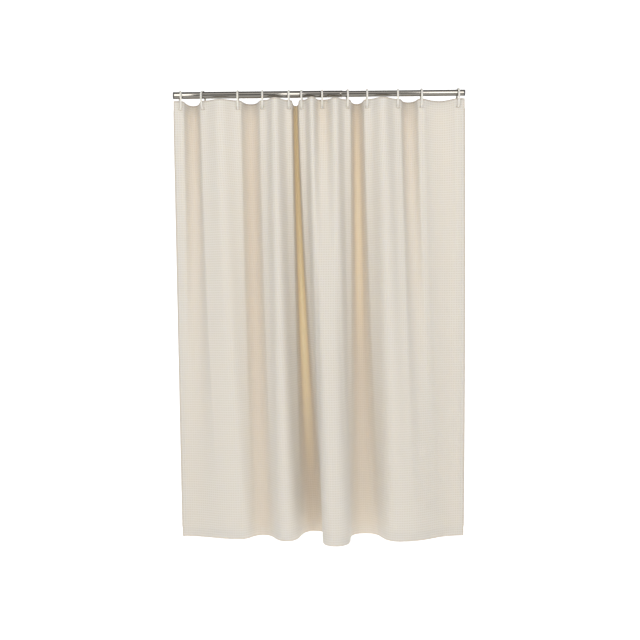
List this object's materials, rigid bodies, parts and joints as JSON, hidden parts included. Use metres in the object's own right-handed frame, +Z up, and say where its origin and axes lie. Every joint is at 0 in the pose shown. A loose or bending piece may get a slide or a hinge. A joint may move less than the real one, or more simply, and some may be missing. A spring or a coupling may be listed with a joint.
{
  "type": "shower curtain",
  "caption": "Gathered waffle-cloth shower curtain with stitched buttonholes, hung on oval sliding rings from a telescopic tension rod.",
  "frame": {"origin": "centre of the flat end face of the rod's left end cap, the face that presses on the wall", "axes": "+X along the rod towards its right end, +Z up, -Y towards the room"},
  "size_m": [1.2101, 0.2576, 1.8718],
  "materials": {
    "polished_steel": "polished",
    "end_cap_rubber": "matt",
    "spring_steel": "drawn wire",
    "white_nylon": "moulded",
    "ivory_plastic": "satin moulded",
    "waffle_cloth": "waffle weave",
    "cream_thread": "buttonhole stitch"
  },
  "bodies": {
    "rod": {"outer_tube": "polished_steel", "left_end_cap": "end_cap_rubber"},
    "lock": {"twist_lock_plug": "white_nylon", "tension_spring": "spring_steel"},
    "inner_rod": {"inner_tube": "polished_steel", "spring_plunger": "white_nylon", "right_end_cap": "end_cap_rubber"},
    "curtain": {"curtain_panel": "waffle_cloth", "header_band": "waffle_cloth", "bottom_hem": "waffle_cloth", "left_side_hem": "waffle_cloth", "right_side_hem": "waffle_cloth"},
    "ring_01": {"ring_01": "ivory_plastic", "buttonhole_01": "cream_thread"},
    "ring_02": {"ring_02": "ivory_plastic", "buttonhole_02": "cream_thread"},
    "ring_03": {"ring_03": "ivory_plastic", "buttonhole_03": "cream_thread"},
    "ring_04": {"ring_04": "ivory_plastic", "buttonhole_04": "cream_thread"},
    "ring_05": {"ring_05": "ivory_plastic", "buttonhole_05": "cream_thread"},
    "ring_06": {"ring_06": "ivory_plastic", "buttonhole_06": "cream_thread"},
    "ring_07": {"ring_07": "ivory_plastic", "buttonhole_07": "cream_thread"},
    "ring_08": {"ring_08": "ivory_plastic", "buttonhole_08": "cream_thread"},
    "ring_09": {"ring_09": "ivory_plastic", "buttonhole_09": "cream_thread"},
    "ring_10": {"ring_10": "ivory_plastic", "buttonhole_10": "cream_thread"},
    "ring_11": {"ring_11": "ivory_plastic", "buttonhole_11": "cream_thread"},
    "ring_12": {"ring_12": "ivory_plastic", "buttonhole_12": "cream_thread"}
  },
  "joints": [
    {"name": "rod_length", "type": "slide", "parent": "rod", "child": "lock", "axis": [1, 0, 0], "range_m": [-0.01, 0.2]},
    {"name": "rod_spring_push", "type": "slide", "parent": "lock", "child": "inner_rod", "axis": [1, 0, 0], "range_m": [-0.01, 0], "stiffness_N_per_m": 1200, "springref_m": 0.008, "deforming": ["tension_spring"]},
    {"name": "curtain_swing", "type": "hinge", "parent": "rod", "child": "curtain", "pos_m": [0, 0, 0], "axis": [1, 0, 0], "range_deg": [-20, 20]},
    {"name": "curtain_draw", "type": "slide", "parent": "curtain", "child": "ring_12", "axis": [-1, 0, 0], "range_m": [0, 0.7786], "deforming": ["curtain_panel", "header_band", "bottom_hem", "left_side_hem", "right_side_hem"]},
    {"name": "ring_slide_01", "type": "slide", "parent": "curtain", "child": "ring_01", "axis": [-1, 0, 0], "range_m": [0, 0.0186], "deforming": ["curtain_panel", "header_band", "bottom_hem", "left_side_hem", "right_side_hem"]},
    {"name": "ring_slide_02", "type": "slide", "parent": "curtain", "child": "ring_02", "axis": [-1, 0, 0], "range_m": [0, 0.0813], "deforming": ["curtain_panel", "header_band", "bottom_hem", "left_side_hem", "right_side_hem"]},
    {"name": "ring_slide_03", "type": "slide", "parent": "curtain", "child": "ring_03", "axis": [-1, 0, 0], "range_m": [0, 0.1765], "deforming": ["curtain_panel", "header_band", "bottom_hem", "left_side_hem", "right_side_hem"]},
    {"name": "ring_slide_04", "type": "slide", "parent": "curtain", "child": "ring_04", "axis": [-1, 0, 0], "range_m": [0, 0.2433], "deforming": ["curtain_panel", "header_band", "bottom_hem", "left_side_hem", "right_side_hem"]},
    {"name": "ring_slide_05", "type": "slide", "parent": "curtain", "child": "ring_05", "axis": [-1, 0, 0], "range_m": [0, 0.3159], "deforming": ["curtain_panel", "header_band", "bottom_hem", "left_side_hem", "right_side_hem"]},
    {"name": "ring_slide_06", "type": "slide", "parent": "curtain", "child": "ring_06", "axis": [-1, 0, 0], "range_m": [0, 0.351], "deforming": ["curtain_panel", "header_band", "bottom_hem", "left_side_hem", "right_side_hem"]},
    {"name": "ring_slide_07", "type": "slide", "parent": "curtain", "child": "ring_07", "axis": [-1, 0, 0], "range_m": [0, 0.407], "deforming": ["curtain_panel", "header_band", "bottom_hem", "left_side_hem", "right_side_hem"]},
    {"name": "ring_slide_08", "type": "slide", "parent": "curtain", "child": "ring_08", "axis": [-1, 0, 0], "range_m": [0, 0.4761], "deforming": ["curtain_panel", "header_band", "bottom_hem", "left_side_hem", "right_side_hem"]},
    {"name": "ring_slide_09", "type": "slide", "parent": "curtain", "child": "ring_09", "axis": [-1, 0, 0], "range_m": [0, 0.53], "deforming": ["curtain_panel", "header_band", "bottom_hem", "left_side_hem", "right_side_hem"]},
    {"name": "ring_slide_10", "type": "slide", "parent": "curtain", "child": "ring_10", "axis": [-1, 0, 0], "range_m": [0, 0.6149], "deforming": ["curtain_panel", "header_band", "bottom_hem", "left_side_hem", "right_side_hem"]},
    {"name": "ring_slide_11", "type": "slide", "parent": "curtain", "child": "ring_11", "axis": [-1, 0, 0], "range_m": [0, 0.679], "deforming": ["curtain_panel", "header_band", "bottom_hem", "left_side_hem", "right_side_hem"]}
  ],
  "couplings": [
    {"joint": "ring_slide_01", "follows": "curtain_draw", "ratio": 0.023227},
    {"joint": "ring_slide_02", "follows": "curtain_draw", "ratio": 0.10376},
    {"joint": "ring_slide_03", "follows": "curtain_draw", "ratio": 0.22599},
    {"joint": "ring_slide_04", "follows": "curtain_draw", "ratio": 0.31186},
    {"joint": "ring_slide_05", "follows": "curtain_draw", "ratio": 0.4051},
    {"joint": "ring_slide_06", "follows": "curtain_draw", "ratio": 0.45022},
    {"joint": "ring_slide_07", "follows": "curtain_draw", "ratio": 0.52214},
    {"joint": "ring_slide_08", "follows": "curtain_draw", "ratio": 0.61088},
    {"joint": "ring_slide_09", "follows": "curtain_draw", "ratio": 0.68006},
    {"joint": "ring_slide_10", "follows": "curtain_draw", "ratio": 0.78917},
    {"joint": "ring_slide_11", "follows": "curtain_draw", "ratio": 0.87148}
  ]
}
